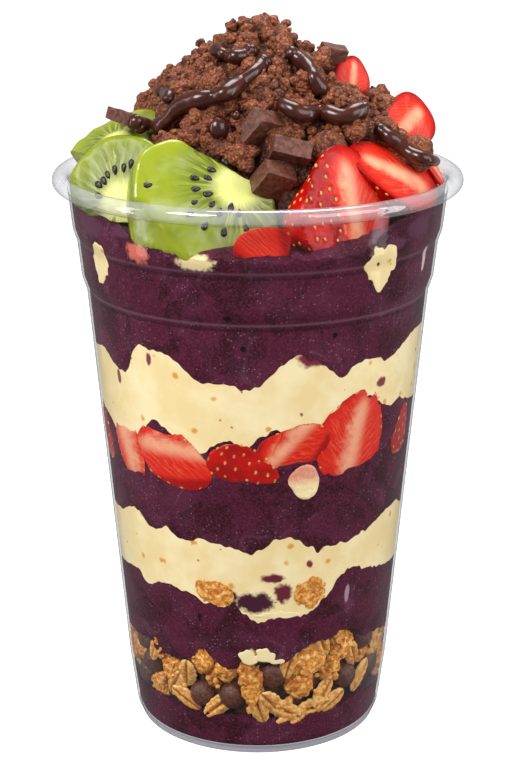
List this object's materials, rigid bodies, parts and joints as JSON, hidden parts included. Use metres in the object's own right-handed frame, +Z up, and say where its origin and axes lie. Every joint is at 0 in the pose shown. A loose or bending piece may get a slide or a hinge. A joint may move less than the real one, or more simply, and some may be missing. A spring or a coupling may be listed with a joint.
{
  "type": "layered acai cup",
  "caption": "Clear plastic cup of acai and cream in wavy layers with strawberries and granola, heaped with kiwi, strawberries, chocolate and brownie crumble.",
  "frame": {"origin": "on the ground under the cup's axis, at the centre of the foot ring's underside", "axes": "+Z up along the cup's axis, the pictured front faces -Y, +X to the viewer's right"},
  "size_m": [0.0982, 0.0982, 0.1767],
  "materials": {
    "clear_plastic": "clear, glossy",
    "acai": "smooth frozen pulp, satin",
    "cream": "smooth cream, satin",
    "granola": "rough baked oats",
    "strawberry": "wet fruit",
    "pale_fruit": "wet fruit",
    "kiwi": "wet fruit",
    "brownie": "crumbly with glossy sauce",
    "chocolate": "satin"
  },
  "bodies": {
    "root": {"cup": "clear_plastic", "acai_base": "acai", "acai_lower": "acai", "acai_middle": "acai", "acai_crown": "acai", "cream_lower": "cream", "cream_upper": "cream", "cream_dab_1": "cream", "cream_dab_2": "cream", "cream_dab_3": "cream", "granola_layer": "granola", "granola_bit_1": "granola", "granola_bit_2": "granola", "granola_bit_3": "granola", "granola_bit_4": "granola", "band_strawberry_01": "strawberry", "band_strawberry_02": "strawberry", "band_strawberry_03": "strawberry", "band_strawberry_04": "strawberry", "band_strawberry_05": "strawberry", "band_strawberry_06": "strawberry", "band_strawberry_07": "strawberry", "band_strawberry_08": "strawberry", "band_strawberry_09": "strawberry", "band_strawberry_10": "strawberry", "band_strawberry_11": "strawberry", "band_strawberry_12": "strawberry", "pale_bit": "pale_fruit", "kiwi_front": "kiwi", "kiwi_left": "kiwi", "kiwi_left_back": "kiwi", "kiwi_back_left": "kiwi", "kiwi_back_right": "kiwi", "strawberry_front": "strawberry", "strawberry_right_front": "strawberry", "strawberry_right": "strawberry", "strawberry_rim_right": "strawberry", "strawberry_top": "strawberry", "strawberry_low": "strawberry", "strawberry_back_right": "strawberry", "strawberry_back": "strawberry", "strawberry_left_back": "strawberry", "chocolate_block_1": "chocolate", "chocolate_block_2": "chocolate", "chocolate_block_3": "chocolate", "chocolate_block_4": "chocolate", "chocolate_block_5": "chocolate", "chocolate_block_6": "chocolate", "chocolate_block_7": "chocolate", "brownie_heap": "brownie"}
  },
  "joints": []
}
